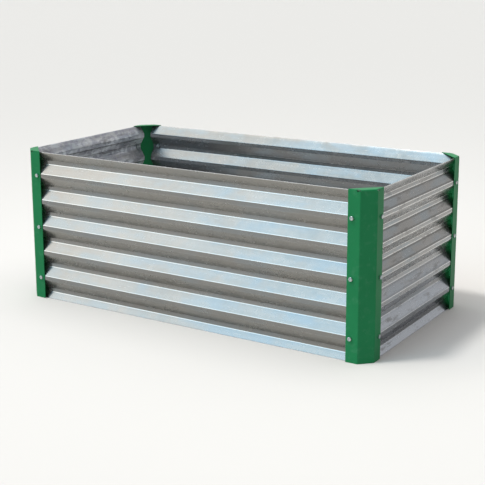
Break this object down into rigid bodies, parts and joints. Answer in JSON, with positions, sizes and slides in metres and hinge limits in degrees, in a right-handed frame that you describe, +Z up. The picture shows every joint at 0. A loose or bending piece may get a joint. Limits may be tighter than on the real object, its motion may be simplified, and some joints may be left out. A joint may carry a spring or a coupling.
{
  "type": "raised garden bed",
  "caption": "Rectangular raised garden bed, open above and below: ribbed galvanised steel walls bolted to green folded steel corner posts.",
  "frame": {"origin": "on the ground, under the middle of the bed", "axes": "+X along the bed to the right, +Y from the front wall to the back wall, +Z up"},
  "size_m": [1.123, 0.593, 0.438],
  "materials": {
    "green_powder_coat": "satin green powder coat on folded sheet steel",
    "galvanised_sheet": "hot dip galvanised roll formed sheet, faint spangle, half gloss",
    "zinc_plate": "bright zinc plated steel"
  },
  "bodies": {
    "root": {"corner_post_front_left": "green_powder_coat", "corner_post_front_right": "green_powder_coat", "corner_post_back_right": "green_powder_coat", "corner_post_back_left": "green_powder_coat", "front_wall": "galvanised_sheet", "right_wall": "galvanised_sheet", "back_wall": "galvanised_sheet", "left_wall": "galvanised_sheet", "front_wall_left_bolts": "zinc_plate", "front_wall_left_nuts": "zinc_plate", "front_wall_right_bolts": "zinc_plate", "front_wall_right_nuts": "zinc_plate", "right_wall_front_bolts": "zinc_plate", "right_wall_front_nuts": "zinc_plate", "right_wall_back_bolts": "zinc_plate", "right_wall_back_nuts": "zinc_plate", "back_wall_right_bolts": "zinc_plate", "back_wall_right_nuts": "zinc_plate", "back_wall_left_bolts": "zinc_plate", "back_wall_left_nuts": "zinc_plate", "left_wall_back_bolts": "zinc_plate", "left_wall_back_nuts": "zinc_plate", "left_wall_front_bolts": "zinc_plate", "left_wall_front_nuts": "zinc_plate"}
  },
  "joints": []
}
